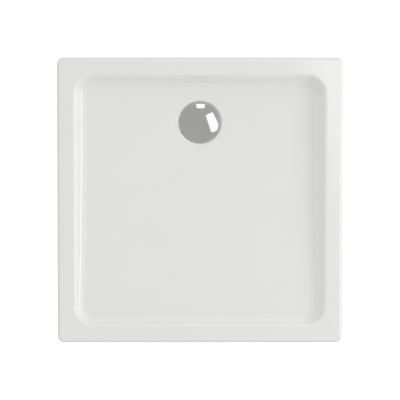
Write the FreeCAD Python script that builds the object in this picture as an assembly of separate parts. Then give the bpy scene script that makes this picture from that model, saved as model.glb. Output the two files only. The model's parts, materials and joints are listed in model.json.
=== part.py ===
import FreeCAD, Part
import math
import os

# Square acrylic shower tray on a steel frame with five screw feet, with its waste and trap.
# Millimetres. +Z is up, the drain lies towards +Y, and the origin is on the floor
# under the middle of the tray.

# ---------------------------------------------------------------- tray
TRAY_WIDTH = 800.0          # left to right, X
TRAY_LENGTH = 800.0         # front to back, Y
RIM_HEIGHT = 170.0          # top of the rim above the floor
BASIN_DEPTH = 40.0          # rim down to the flat round the drain
SKIRT_HEIGHT = 45.0
SHEET = 4.0                 # acrylic sheet
LAMINATE = 2.5              # glass fibre behind the sheet
CORNER_RADIUS = 17.0        # outer corners, seen from above
EDGE_RADIUS = 9.0           # rolled outer edge of the rim
RIM_FLAT = 43.5             # outer side to where the rim starts to turn down
LIP_RADIUS = 10.0           # turn from the rim into the basin wall
WALL_DRAFT = 30.0           # degrees from upright
BASIN_CORNER = 58.0         # corner of the rim's inner edge, seen from above
FLOOR_RADIUS = 24.0         # turn from the wall into the floor
FLOOR_FALL = 0.036          # the floor is a flat cone that falls this much towards the drain
DRAIN_FROM_BACK = 180.0     # drain centre to the tray's back side

# ---------------------------------------------------------------- drain recess
RECESS_RADIUS = 64.0        # of the recess where its leaning wall meets the flat round it
RECESS_FLAT = 53.0          # radius of the recess's own floor
RECESS_DEPTH = 6.0
RECESS_EDGE = 10.0          # rounding at the top of the recess wall
WASTE_HOLE_RADIUS = 45.0    # for a 90 mm waste
DRAIN_FLAT = 6.0            # width of the flat round the recess

# ---------------------------------------------------------------- base board
BOARD_MARGIN = 100.0        # tray side to the board's edge
BOARD_THICK = 12.0
BOARD_CORNER = 40.0
BED_LEAST = 2.0             # resin bed at its thinnest
LAMINATE_SHORT = 6.0        # the laminate stops this far above the skirt's lower edge
CUTOUT_LEFT = 82.0          # trap cut-out, from the drain's centre
CUTOUT_RIGHT = 172.0
CUTOUT_FRONT = 84.0

# ---------------------------------------------------------------- steel frame
RAIL_INSET = 50.0           # side rail's centre line to the board's edge
RAIL_WIDTH = 40.0
RAIL_HEIGHT = 20.0
RAIL_WALL = 2.0
RAIL_BEND = 2.5             # outer bend radius of the channel
CROSS_Y = -20.0             # centre line of the cross rail
CROSS_GAP = 0.5             # cross rail to each side rail
CAP_PLATE = 2.0             # plastic end cap
CAP_PLUG = 14.0
CAP_WALL = 2.5
CAP_CLEAR = 0.1
CLEAT_WIDTH = 30.0
CLEAT_REACH = 26.0
CLEAT_DROP = 16.0
CLEAT_WALL = 2.5
CLEAT_BEND = 2.0            # outer bend radius of the cleat
BOLT_RADIUS = 3.0           # M6
BOLT_NUT_FLATS = 10.0
BOLT_NUT_THICK = 5.0
BOLT_HEAD_THICK = 4.0
BOLT_OVERRUN = 3.0
BOLT_CHAMFER = 0.5
SCREW_RADIUS = 2.0          # wood screws into the board
SCREW_COVER = 2.0           # board left over a wood screw's tip
SCREW_POINT = 3.0           # length of the pointed end
SCREW_HEAD_RADIUS = 4.2
SCREW_HEAD_THICK = 2.4
SCREW_HEAD_ROUND = 1.6
SCREW_SLOT_WIDTH = 1.0
SCREW_SLOT_DEPTH = 1.2
HOLE_CLEAR = 0.2            # screw and bolt holes, on the radius
STUD_HOLE_CLEAR = 1.0       # studs through the board and the rails, on the radius
SNUG = 0.05                 # clearance on the radius of what is held firmly
RAIL_SCREW_GAP = 35.0       # outer rail screws to the foot's socket
RAIL_SCREW_INNER = 70.0     # inner rail screws, from the rail's middle
CROSS_SCREW_REACH = 120.0
OVERCUT = 1.0               # cutters reach this far past what they cut
TOUCH = 0.01                # edges this near a level lie in it

# ---------------------------------------------------------------- screw feet
FOOT_CAP_GAP = 1.0          # foot's socket to the plug of the rail's end cap
STUD_RADIUS = 6.0           # M12
STUD_HEADROOM = 2.0         # stud top to the board's upper face, screwed right in
FOOT_UP = 8.0               # the foot screws in this far
FOOT_DOWN = 30.0            # and out this far
SOCKET_GRIP = 14.0          # thread still in the socket when the foot is right out
SOCKET_RADIUS = 13.0        # threaded plastic socket under the rail
SOCKET_TAPER = 2.5          # the socket is this much thinner at its lower end
SOCKET_FLANGE = 60.0
SOCKET_FLANGE_THICK = 4.0
SOCKET_FLANGE_CORNER = 3.0
SOCKET_SCREW_REACH = 23.0
SOCKET_SCREW_ROOM = 1.0     # screw head to the gusset
SOCKET_PLAIN = 10.0         # bare barrel under the gussets
THREAD_CLEAR = 0.05         # stud in its socket, on the radius
LOCK_NUT_FLATS = 19.0
LOCK_NUT_THICK = 8.0
PAD_RADIUS = 30.0
PAD_TOP_RADIUS = 14.0
PAD_HEIGHT = 22.0
PAD_BRIM = 5.0              # upright edge of the pad
SOLE_RADIUS = 28.0
SOLE_THICK = 3.0
SOLE_BREAK = 0.5
HEEL_RADIUS = 8.5           # disc on the stud that the pad holds
HEEL_THICK = 4.0
HEEL_CLEAR = 0.3
HEEL_FLOOR = 3.0            # pad plastic under the heel
COLLAR_FLATS = 17.0         # hexagon that a spanner turns
COLLAR_THICK = 7.0
COLLAR_GAP = 2.0            # pad top to collar
EDGE_BREAK = 1.0            # chamfer on stud ends, nuts and the insert's collar

# ---------------------------------------------------------------- waste
GASKET_THICK = 1.5          # between flange and tray
BODY_GASKET_THICK = 2.0     # between trap body and laminate
GASKET_INNER = 46.0
GASKET_OUTER = 51.0
FLANGE_RADIUS = 52.0
FLANGE_THICK = 2.0
FLANGE_EDGE = 0.8           # chamfer round the flange
FLANGE_SKIRT = 11.0         # how far the flange reaches down into the trap
FLANGE_SKIRT_WALL = 1.5
FLANGE_SCREW_RADIUS = 2.0   # M4
FLANGE_SCREW_CIRCLE = 39.8
FLANGE_SCREW_LENGTH = 15.0
FLANGE_SCREW_HEAD = 3.8
FLANGE_SCREW_TIP = 0.5      # chamfer at its end
FLANGE_SCREW_SLOT = 1.0
FLANGE_SCREW_SPARE = 1.0    # its hole is this much deeper
FLANGE_SCREWS = 4
FLANGE_SCREW_START = 45.0   # degrees from +X to the first

# ---------------------------------------------------------------- trap body
NECK_OUTER = 43.5
NECK_INNER = 36.0
NECK_SHORT = 0.5            # neck top to the flange
SHOULDER_RADIUS = 57.0
SHOULDER_THICK = 3.5
CHAMBER_RADIUS = 51.0
TRAP_WALL = 3.0
TRAP_HEIGHT = 103.0         # shoulder down to the bottom
TRAP_BOTTOM_ROUND = 8.0
PIPE_RADIUS = 20.0          # outside of the 40 mm waste pipe
PIPE_WALL = 2.0
OUTLET_DROP = 28.5          # shoulder down to the outlet's centre line
WATER_SEAL = 50.0           # outlet's invert above the insert's mouth
SPIGOT_REACH = 78.0         # threaded spigot, from the drain's centre
SPIGOT_RADIUS = 24.0
SOCKET_DEPTH = 10.0         # how far the elbow goes into the spigot
PIPE_CLEAR = 0.05           # elbow in its socket, on the radius
PIPE_END_GAP = 0.3
NUT_LENGTH = 30.0
NUT_RADIUS = 27.0
NUT_RIB = 1.5
NUT_RIBS = 12
NUT_RIB_WIDTH = 4.0
NUT_OVERLAP = 12.0          # nut over the spigot
SEAL_LENGTH = 6.0
SEAL_CHAMFER = 1.0

# ---------------------------------------------------------------- outlet elbow
ELBOW_BEND = 32.0           # bend radius of the centre line
ELBOW_STUB = 10.0           # straight pipe between the nut and the bend
ELBOW_TAIL = 45.0           # free spigot
BEAD_RADIUS = 22.5
BEAD_LENGTH = 4.0
BEAD_GAP = 0.4

# ---------------------------------------------------------------- trap insert
INSERT_CLEAR = 0.05         # insert in the flange, on the radius
INSERT_WALL = 2.0
DIP_RADIUS = 28.0           # outside of the dip tube
FUNNEL_HEIGHT = 5.0
COLLAR_HEIGHT = 9.0
COLLAR_WALL = 4.5
RING_CORD_RADIUS = 1.4      # rubber ring
RING_DROP = 4.5             # collar top down to the ring
HUB_RADIUS = 8.5
HUB_HEIGHT = 12.0
HUB_TOP_DROP = 2.0          # flange top down to the hub
SPOKE_WIDTH = 3.0
SPOKE_HEIGHT = 7.0
SPOKE_ANGLES = (45.0, 135.0)

# ---------------------------------------------------------------- waste cover
COVER_RADIUS = 56.0
COVER_THICK = 1.2
COVER_GAP = 2.9             # flange's top up to the cover's edge
COVER_EDGE = 2.5            # height of the turned edge
COVER_EDGE_ROUND = 1.6
COVER_RISE = 3.5            # of the dome
CARRIER_PLATE_RADIUS = 22.0
CARRIER_DEPTH = 3.0
CARRIER_RIB_WIDTH = 2.5
CARRIER_RIB_REACH = 50.0
CARRIER_RIB_GAP = 0.3       # cover's edge up to the ribs
CARRIER_RIBS = 6
STEM_RADIUS = 5.0
STEM_CLEAR = 0.05
STEM_LENGTH = 13.0          # how far the stem reaches below the flange's top
COVER_LIP_CLEAR = 0.1

# ---------------------------------------------------------------- worked out
FLOOR_UPRIGHT = 0.9         # a face whose normal is this upright counts as floor
HALF_WIDTH = TRAY_WIDTH / 2
HALF_LENGTH = TRAY_LENGTH / 2
DRAIN_Y = HALF_LENGTH - DRAIN_FROM_BACK
LAND_Z = RIM_HEIGHT - BASIN_DEPTH
SKIRT_BOTTOM = RIM_HEIGHT - SKIRT_HEIGHT
SLOPE = math.radians(WALL_DRAFT)
BACKED = SHEET + LAMINATE
RECESS_FLOOR = LAND_Z - RECESS_DEPTH

BOARD_TOP = LAND_Z - BACKED - BED_LEAST
BOARD_BOTTOM = BOARD_TOP - BOARD_THICK
BOARD_HALF_X = HALF_WIDTH - BOARD_MARGIN
BOARD_HALF_Y = HALF_LENGTH - BOARD_MARGIN
RAIL_X = BOARD_HALF_X - RAIL_INSET
RAIL_BOTTOM = BOARD_BOTTOM - RAIL_HEIGHT
WEB_Z = BOARD_BOTTOM - RAIL_WALL
CROSS_HALF = RAIL_X - RAIL_WIDTH / 2 - CROSS_GAP

SCREW_TIP = BOARD_TOP - SCREW_COVER
FOOT_Y = BOARD_HALF_Y - CAP_PLUG - FOOT_CAP_GAP - SOCKET_FLANGE / 2
RAIL_SCREW_REACH = FOOT_Y - SOCKET_FLANGE / 2 - RAIL_SCREW_GAP
STUD_TOP = BOARD_TOP - STUD_HEADROOM - FOOT_UP
SOCKET_BOTTOM = STUD_TOP - FOOT_DOWN - SOCKET_GRIP
STUD_BOTTOM = SOLE_THICK + HEEL_FLOOR
COLLAR_Z = PAD_HEIGHT + COLLAR_GAP

FLANGE_BOTTOM = RECESS_FLOOR + GASKET_THICK
FLANGE_TOP = FLANGE_BOTTOM + FLANGE_THICK
FLANGE_BORE = NECK_INNER - SNUG - FLANGE_SKIRT_WALL
SHOULDER_TOP = RECESS_FLOOR - BACKED - BODY_GASKET_THICK
SHOULDER_BOTTOM = SHOULDER_TOP - SHOULDER_THICK
TRAP_BOTTOM = SHOULDER_TOP - TRAP_HEIGHT
OUTLET_Z = SHOULDER_TOP - OUTLET_DROP
PIPE_BORE = PIPE_RADIUS - PIPE_WALL
DIP_BOTTOM = OUTLET_Z - PIPE_BORE - WATER_SEAL
NUT_START = SPIGOT_REACH - NUT_OVERLAP
NUT_END = NUT_START + NUT_LENGTH
ELBOW_START = SPIGOT_REACH - SOCKET_DEPTH + PIPE_END_GAP
BEND_X = NUT_END + ELBOW_STUB
TAIL_X = BEND_X + ELBOW_BEND
TAIL_Y = DRAIN_Y + ELBOW_BEND

COLLAR_RADIUS = FLANGE_BORE - INSERT_CLEAR
COLLAR_TOP = FLANGE_TOP
COLLAR_BOTTOM = COLLAR_TOP - COLLAR_HEIGHT
HUB_TOP = FLANGE_TOP - HUB_TOP_DROP
COVER_BOTTOM = FLANGE_TOP + COVER_GAP
COVER_TOP = COVER_BOTTOM + COVER_EDGE + COVER_RISE

FOOT_PLACES = {
    "front_left": (-RAIL_X, -FOOT_Y),
    "front_right": (RAIL_X, -FOOT_Y),
    "rear_left": (-RAIL_X, FOOT_Y),
    "rear_right": (RAIL_X, FOOT_Y),
    "centre": (0.0, CROSS_Y),
}


# ---------------------------------------------------------------- shapes
def point(x, y, z):
    return FreeCAD.Vector(x, y, z)


def block(x0, x1, y0, y1, z0, z1):
    return Part.makeBox(x1 - x0, y1 - y0, z1 - z0, point(x0, y0, z0))


def rod(radius, z0, z1, x=0.0, y=0.0):
    return Part.makeCylinder(radius, z1 - z0, point(x, y, z0))


def rod_x(radius, x0, x1, y, z):
    return Part.makeCylinder(radius, x1 - x0, point(x0, y, z), point(1, 0, 0))


def ring(outer, inner, z0, z1, x=0.0, y=0.0):
    return rod(outer, z0, z1, x, y).cut(rod(inner, z0, z1, x, y))


def inset(radius):
    """How far the middle of a quarter round lies inside its sharp corner, along each side."""
    return radius * (1 - math.sqrt(0.5))


def lathe(start, *steps):
    """Turned solid about the Z axis. A step is a point (r, z), or an arc as (middle, end)."""
    edges = []
    here = point(start[0], 0, start[1])
    first = here
    for step in steps:
        if isinstance(step[0], tuple):
            middle = point(step[0][0], 0, step[0][1])
            there = point(step[1][0], 0, step[1][1])
            edges.append(Part.Arc(here, middle, there).toShape())
        else:
            there = point(step[0], 0, step[1])
            edges.append(Part.LineSegment(here, there).toShape())
        here = there
    edges.append(Part.LineSegment(here, first).toShape())
    face = Part.Face(Part.Wire(edges))
    return face.revolve(point(0, 0, 0), point(0, 0, 1), 360)


def moved(shape, x=0.0, y=0.0, z=0.0):
    copy = shape.copy()
    copy.translate(point(x, y, z))
    return copy


def turned(shape, angle, axis=(0, 0, 1)):
    copy = shape.copy()
    copy.rotate(point(0, 0, 0), point(*axis), angle)
    return copy


def fused(shapes):
    return shapes[0].fuse(shapes[1:]).removeSplitter()


def hexagon(flats, z0, z1, x=0.0, y=0.0):
    corner = flats / math.sqrt(3)
    points = []
    for step in range(7):
        angle = math.radians(60 * step)
        points.append(point(x + corner * math.cos(angle), y + corner * math.sin(angle), z0))
    return Part.Face(Part.makePolygon(points)).extrude(point(0, 0, z1 - z0))


def rounded_block(half_x, half_y, radius, z0, z1):
    """Upright block with rounded corners, centred on the Z axis."""
    sides = block(-half_x, half_x, -half_y, half_y, z0, z1)
    upright = [edge for edge in sides.Edges if edge.BoundBox.ZLength > (z1 - z0) / 2]
    return sides.makeFillet(radius, upright)


def chamfered_rod(radius, z0, z1, chamfer, x=0.0, y=0.0):
    bar = lathe((0, z0), (radius - chamfer, z0), (radius, z0 + chamfer),
                (radius, z1 - chamfer), (radius - chamfer, z1), (0, z1))
    return moved(bar, x, y)


# ---------------------------------------------------------------- tray
def tapered_slab(top, bottom, half_length, z0, z1):
    outline = [
        point(-top, -half_length, z1),
        point(top, -half_length, z1),
        point(bottom, -half_length, z0),
        point(-bottom, -half_length, z0),
        point(-top, -half_length, z1),
    ]
    return Part.Face(Part.makePolygon(outline)).extrude(point(0, 2 * half_length, 0))


def drafted_well(half_x, half_y, radius, mouth_z, z0, z1):
    """Block with leaning sides and round corners: the sizes are those at mouth_z."""
    up = (z1 - mouth_z) * math.tan(SLOPE)
    down = (mouth_z - z0) * math.tan(SLOPE)
    across = tapered_slab(half_x + up, half_x - down, half_y - radius, z0, z1)
    along = turned(tapered_slab(half_y + up, half_y - down, half_x - radius, z0, z1), 90)
    corners = []
    for side in (-1, 1):
        for end in (-1, 1):
            place = point(side * (half_x - radius), end * (half_y - radius), z0)
            corners.append(Part.makeCone(radius - down, radius + up, z1 - z0, place))
    return across.fuse([along] + corners).removeSplitter()


def under_floor(offset):
    """All that lies under the basin's floor, which falls to a small flat round the drain."""
    flat = RECESS_RADIUS + DRAIN_FLAT
    far = TRAY_WIDTH + TRAY_LENGTH
    cone_z = LAND_Z - offset * math.hypot(1, FLOOR_FALL)
    meet = flat + (LAND_Z - offset - cone_z) / FLOOR_FALL
    ground = lathe((0, 0), (far, 0), (far, cone_z + FLOOR_FALL * (far - flat)),
                   (meet, LAND_Z - offset), (0, LAND_Z - offset))
    return moved(turned(ground, 90), 0, DRAIN_Y)


def is_floor(face):
    """True for the flat round the drain and for the sloping floor."""
    u0, u1, v0, v1 = face.ParameterRange
    normal = face.normalAt((u0 + u1) / 2, (v0 + v1) / 2)
    return abs(normal.z) > FLOOR_UPRIGHT


def basin_space(offset):
    """The space in the basin, grown by the offset on its walls and floor."""
    lip_tangent = LIP_RADIUS * math.tan((math.pi / 2 - SLOPE) / 2)
    spread = offset / math.cos(SLOPE) - lip_tangent
    half_x = HALF_WIDTH - RIM_FLAT + spread
    half_y = HALF_LENGTH - RIM_FLAT + spread
    space = drafted_well(half_x, half_y, BASIN_CORNER + spread, RIM_HEIGHT,
                         LAND_Z - BACKED, RIM_HEIGHT + SHEET)
    space = space.cut(under_floor(offset))
    turns = []
    for edge in space.Edges:
        flat = [is_floor(face) for face in space.ancestorsOfType(edge, Part.Face)]
        if any(flat) and not all(flat) and edge.BoundBox.ZMax < RIM_HEIGHT:
            turns.append(edge)
    return space.makeFillet(FLOOR_RADIUS + offset, turns)


def recess_space(offset):
    """The round recess for the waste, grown by the offset. It is open upwards."""
    lean = math.atan2(RECESS_DEPTH, RECESS_RADIUS - RECESS_FLAT)
    half = lean / 2
    floor = RECESS_FLOOR - offset
    foot = RECESS_FLAT + offset * math.tan(half)
    edge = RECESS_EDGE - offset
    middle_r = RECESS_RADIUS + RECESS_EDGE * math.tan(half)
    middle_z = LAND_Z - RECESS_EDGE
    space = lathe((0, floor), (foot, floor),
                  (middle_r - edge * math.sin(lean), middle_z + edge * math.cos(lean)),
                  ((middle_r - edge * math.sin(half), middle_z + edge * math.cos(half)),
                   (middle_r, LAND_Z - offset)),
                  (middle_r, LAND_Z + SHEET), (0, LAND_Z + SHEET))
    return moved(space, 0, DRAIN_Y)


def rim_edges(shape, z, reach_x, reach_y):
    """Edges at height z that lie inside the given reach."""
    found = []
    for edge in shape.Edges:
        bounds = edge.BoundBox
        level = bounds.ZMax < z + TOUCH and bounds.ZMin > z - TOUCH
        inside = max(abs(bounds.XMin), abs(bounds.XMax)) < reach_x
        if level and inside and max(abs(bounds.YMin), abs(bounds.YMax)) < reach_y:
            found.append(edge)
    return found


def raised_form(offset, bottom):
    """Solid whose top is the tray's upper surface, sunk by the offset."""
    top = RIM_HEIGHT - offset
    half_x = HALF_WIDTH - offset
    half_y = HALF_LENGTH - offset
    form = rounded_block(half_x, half_y, CORNER_RADIUS - offset, bottom, top)
    form = form.makeFillet(EDGE_RADIUS - offset, rim_edges(form, top, TRAY_WIDTH, TRAY_LENGTH))
    form = form.cut(basin_space(offset))
    inner = RIM_FLAT / 2
    lip = rim_edges(form, top, HALF_WIDTH - inner, HALF_LENGTH - inner)
    return form.makeFillet(LIP_RADIUS - offset, lip)


def under_form(offset):
    """What the sunk surface leaves below it, with the recess standing down into it."""
    far_down = RECESS_FLOOR - 2 * BACKED
    return raised_form(offset, far_down).cut(recess_space(offset))


def waste_hole():
    return rod(WASTE_HOLE_RADIUS, RECESS_FLOOR - 2 * BACKED, RIM_HEIGHT, 0, DRAIN_Y)


def tray_shell():
    top = raised_form(0.0, SKIRT_BOTTOM).fuse(recess_space(SHEET).cut(basin_space(0.0)))
    shell = top.cut(recess_space(0.0)).cut(under_form(SHEET))
    return shell.cut(waste_hole()).removeSplitter()


def fibreglass_backing():
    skin = under_form(SHEET).cut(under_form(BACKED))
    low = RECESS_FLOOR - 2 * BACKED
    high = SKIRT_BOTTOM + LAMINATE_SHORT
    outer = block(-HALF_WIDTH, HALF_WIDTH, -HALF_LENGTH, HALF_LENGTH, low, high)
    inner_x = HALF_WIDTH - RIM_FLAT
    inner_y = HALF_LENGTH - RIM_FLAT
    trim = outer.cut(block(-inner_x, inner_x, -inner_y, inner_y, low, high))
    return skin.cut(trim).cut(waste_hole()).removeSplitter()


# ---------------------------------------------------------------- base board and frame
def board_outline(z0, z1):
    plate = rounded_block(BOARD_HALF_X, BOARD_HALF_Y, BOARD_CORNER, z0, z1)
    notch = block(-CUTOUT_LEFT, CUTOUT_RIGHT, DRAIN_Y - CUTOUT_FRONT, HALF_LENGTH, z0, z1)
    return plate.cut(notch)


def resin_bed():
    return board_outline(BOARD_TOP, RIM_HEIGHT).common(under_form(BACKED)).removeSplitter()


def screw_places():
    """Wood screws through rail webs: those that hold the rails, then those of the sockets."""
    rails = []
    for side in (-1, 1):
        for reach in (-RAIL_SCREW_REACH, -RAIL_SCREW_INNER, RAIL_SCREW_INNER, RAIL_SCREW_REACH):
            rails.append((side * RAIL_X, reach))
        rails.append((side * CROSS_SCREW_REACH, CROSS_Y))
    sockets = []
    for name, (x, y) in FOOT_PLACES.items():
        for side in (-1, 1):
            if name == "centre":
                sockets.append((x + side * SOCKET_SCREW_REACH, y))
            else:
                sockets.append((x, y + side * SOCKET_SCREW_REACH))
    cleats = []
    for side in (-1, 1):
        cleats.append((side * (CROSS_HALF + CROSS_GAP - CLEAT_REACH / 2 - CLEAT_WALL), CROSS_Y))
    return rails, sockets, cleats


def all_screw_places():
    rails, sockets, cleats = screw_places()
    return rails + sockets + cleats


def wood_screw(x, y, seat_z):
    """Pan-head screw that enters upwards, with its head under seat_z."""
    low = seat_z - SCREW_HEAD_THICK
    turn = inset(SCREW_HEAD_ROUND)
    head = lathe((0, low), (SCREW_HEAD_RADIUS - SCREW_HEAD_ROUND, low),
                 ((SCREW_HEAD_RADIUS - turn, low + turn), (SCREW_HEAD_RADIUS, low + SCREW_HEAD_ROUND)),
                 (SCREW_HEAD_RADIUS, seat_z), (0, seat_z))
    for angle in (0, 90):
        slot = block(-SCREW_RADIUS, SCREW_RADIUS, -SCREW_SLOT_WIDTH / 2, SCREW_SLOT_WIDTH / 2,
                     low, low + SCREW_SLOT_DEPTH)
        head = head.cut(turned(slot, angle))
    shank = rod(SCREW_RADIUS, seat_z, SCREW_TIP - SCREW_POINT)
    tip = Part.makeCone(SCREW_RADIUS, 0, SCREW_POINT, point(0, 0, SCREW_TIP - SCREW_POINT))
    return moved(fused([head, shank, tip]), x, y)


def base_board():
    board = board_outline(BOARD_BOTTOM, BOARD_TOP)
    for x, y in all_screw_places():
        board = board.cut(rod(SCREW_RADIUS + SNUG, BOARD_BOTTOM, BOARD_TOP, x, y))
    for x, y in FOOT_PLACES.values():
        board = board.cut(rod(STUD_RADIUS + STUD_HOLE_CLEAR, BOARD_BOTTOM, BOARD_TOP, x, y))
    return board


def channel(length):
    """Channel that opens downwards, along Y, centred, with its web under the board."""
    half = RAIL_WIDTH / 2
    outer = block(-half, half, -length / 2, length / 2, RAIL_BOTTOM, BOARD_BOTTOM)
    bends = [edge for edge in outer.Edges
             if edge.BoundBox.YLength > length / 2 and edge.BoundBox.ZMin > WEB_Z]
    outer = outer.makeFillet(RAIL_BEND, bends)
    inner_half = half - RAIL_WALL
    inner = block(-inner_half, inner_half, -length / 2, length / 2, RAIL_BOTTOM, WEB_Z)
    bends = [edge for edge in inner.Edges
             if edge.BoundBox.YLength > length / 2 and edge.BoundBox.ZMin > WEB_Z - TOUCH]
    return outer.cut(inner.makeFillet(RAIL_BEND - RAIL_WALL, bends))


def drilled(rail):
    """Rail with the holes for the wood screws and the studs that meet it."""
    low = WEB_Z - OVERCUT
    high = BOARD_BOTTOM + OVERCUT
    for x, y in all_screw_places():
        rail = rail.cut(rod(SCREW_RADIUS + HOLE_CLEAR, low, high, x, y))
    for x, y in FOOT_PLACES.values():
        rail = rail.cut(rod(STUD_RADIUS + STUD_HOLE_CLEAR, low, high, x, y))
    return rail


def cleat_bolt_z():
    return WEB_Z - CLEAT_DROP / 2 - CLEAT_WALL / 2


def side_rail(side):
    rail = moved(channel(2 * BOARD_HALF_Y), side * RAIL_X)
    near = RAIL_X - RAIL_WIDTH / 2 - OVERCUT
    far = RAIL_X - RAIL_WIDTH / 2 + RAIL_WALL + OVERCUT
    start, end = sorted((side * near, side * far))
    return drilled(rail.cut(rod_x(BOLT_RADIUS + HOLE_CLEAR, start, end, CROSS_Y, cleat_bolt_z())))


def cross_rail():
    return drilled(moved(turned(channel(2 * CROSS_HALF), 90), 0, CROSS_Y))


def mirrored_pair(shape):
    return Part.makeCompound([shape, shape.mirror(point(0, 0, 0), point(1, 0, 0))])


def cross_cleats():
    """Angle under each end of the cross rail, bolted to the side rail's flange."""
    end = RAIL_X - RAIL_WIDTH / 2
    y0 = CROSS_Y - CLEAT_WIDTH / 2
    y1 = CROSS_Y + CLEAT_WIDTH / 2
    flat = block(end - CLEAT_REACH, end, y0, y1, WEB_Z - CLEAT_WALL, WEB_Z)
    upright = block(end - CLEAT_WALL, end, y0, y1, WEB_Z - CLEAT_DROP, WEB_Z)
    cleat = flat.fuse(upright).removeSplitter()
    outer = [edge for edge in cleat.Edges
             if edge.BoundBox.YLength > CLEAT_WIDTH / 2
             and edge.BoundBox.ZMin > WEB_Z - TOUCH and edge.BoundBox.XMin > end - TOUCH]
    cleat = cleat.makeFillet(CLEAT_BEND, outer)
    x, y = screw_places()[2][1]
    cleat = cleat.cut(rod(SCREW_RADIUS + HOLE_CLEAR, WEB_Z - CLEAT_WALL, WEB_Z, x, y))
    bolt_hole = rod_x(BOLT_RADIUS + HOLE_CLEAR, end - CLEAT_WALL, end, CROSS_Y, cleat_bolt_z())
    return mirrored_pair(cleat.cut(bolt_hole))


def along_x(shape, x, y, z):
    """Lays a piece that was drawn up the Z axis along the X axis."""
    return moved(turned(shape, 90, (0, 1, 0)), x, y, z)


def cleat_bolts():
    end = RAIL_X - RAIL_WIDTH / 2
    length = RAIL_WALL + CLEAT_WALL + BOLT_NUT_THICK + BOLT_OVERRUN
    shank = chamfered_rod(BOLT_RADIUS, -length, BOLT_HEAD_THICK / 2, BOLT_CHAMFER)
    head = hexagon(BOLT_NUT_FLATS, 0, BOLT_HEAD_THICK)
    bolt = shank.fuse(head).removeSplitter()
    return mirrored_pair(along_x(bolt, end + RAIL_WALL, CROSS_Y, cleat_bolt_z()))


def cleat_nuts():
    end = RAIL_X - RAIL_WIDTH / 2 - CLEAT_WALL
    nut = hexagon(BOLT_NUT_FLATS, -BOLT_NUT_THICK, 0)
    nut = nut.cut(rod(BOLT_RADIUS + SNUG, -BOLT_NUT_THICK, 0))
    return mirrored_pair(along_x(nut, end, CROSS_Y, cleat_bolt_z()))


def rail_end_caps():
    caps = []
    half = RAIL_WIDTH / 2
    plug_half = half - RAIL_WALL - CAP_CLEAR
    plug_top = WEB_Z - CAP_CLEAR
    for side in (-1, 1):
        for end in (-1, 1):
            face_y = BOARD_HALF_Y
            plate = block(-half, half, face_y, face_y + CAP_PLATE, RAIL_BOTTOM, BOARD_BOTTOM)
            corners = [edge for edge in plate.Edges if edge.BoundBox.YLength > CAP_PLATE / 2]
            plate = plate.makeFillet(RAIL_BEND, corners)
            plug = block(-plug_half, plug_half, face_y - CAP_PLUG, face_y,
                         RAIL_BOTTOM + CAP_WALL, plug_top)
            bends = [edge for edge in plug.Edges
                     if edge.BoundBox.YLength > CAP_PLUG / 2 and edge.BoundBox.ZMin > plug_top - TOUCH]
            plug = plug.makeFillet(RAIL_BEND - RAIL_WALL, bends)
            hollow = block(CAP_WALL - plug_half, plug_half - CAP_WALL, face_y - CAP_PLUG, face_y,
                           RAIL_BOTTOM + 2 * CAP_WALL, plug_top - CAP_WALL)
            cap = plate.fuse(plug.cut(hollow)).removeSplitter()
            if end < 0:
                cap = turned(cap, 180)
            caps.append(moved(cap, side * RAIL_X))
    return Part.makeCompound(caps)


def rail_screws():
    rails, _, cleats = screw_places()
    screws = [wood_screw(x, y, WEB_Z) for x, y in rails]
    screws += [wood_screw(x, y, WEB_Z - CLEAT_WALL) for x, y in cleats]
    return Part.makeCompound(screws)


# ---------------------------------------------------------------- feet
def foot_sockets():
    """Threaded plastic sockets, flanged and screwed up inside the channels."""
    sockets = []
    flange_half = RAIL_WIDTH / 2 - RAIL_BEND - CAP_CLEAR
    web = SOCKET_FLANGE_THICK / 2
    gusset_top = WEB_Z - SOCKET_FLANGE_THICK / 2
    gusset_low = SOCKET_BOTTOM + SOCKET_PLAIN
    gusset_reach = SOCKET_SCREW_REACH - SCREW_HEAD_RADIUS - SOCKET_SCREW_ROOM
    for name, (x, y) in FOOT_PLACES.items():
        flange = rounded_block(flange_half, SOCKET_FLANGE / 2, SOCKET_FLANGE_CORNER,
                               WEB_Z - SOCKET_FLANGE_THICK, WEB_Z)
        barrel = Part.makeCone(SOCKET_RADIUS - SOCKET_TAPER, SOCKET_RADIUS,
                               WEB_Z - SOCKET_BOTTOM, point(0, 0, SOCKET_BOTTOM))
        socket = flange.fuse(barrel)
        for sign in (-1, 1):
            outline = [
                point(-web, 0, gusset_top),
                point(-web, sign * gusset_reach, gusset_top),
                point(-web, sign * (SOCKET_RADIUS - SOCKET_TAPER), gusset_low),
                point(-web, 0, gusset_low),
                point(-web, 0, gusset_top),
            ]
            gusset = Part.Face(Part.makePolygon(outline)).extrude(point(2 * web, 0, 0))
            socket = socket.fuse(gusset)
        socket = socket.cut(rod(STUD_RADIUS + THREAD_CLEAR, SOCKET_BOTTOM, WEB_Z))
        for sign in (-1, 1):
            hole = rod(SCREW_RADIUS + HOLE_CLEAR, WEB_Z - SOCKET_FLANGE_THICK, WEB_Z,
                       0, sign * SOCKET_SCREW_REACH)
            socket = socket.cut(hole)
        if name == "centre":
            socket = turned(socket, 90)
        sockets.append(moved(socket.removeSplitter(), x, y))
    return Part.makeCompound(sockets)


def socket_screws():
    _, sockets, _ = screw_places()
    seat = WEB_Z - SOCKET_FLANGE_THICK
    return Part.makeCompound([wood_screw(x, y, seat) for x, y in sockets])


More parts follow.
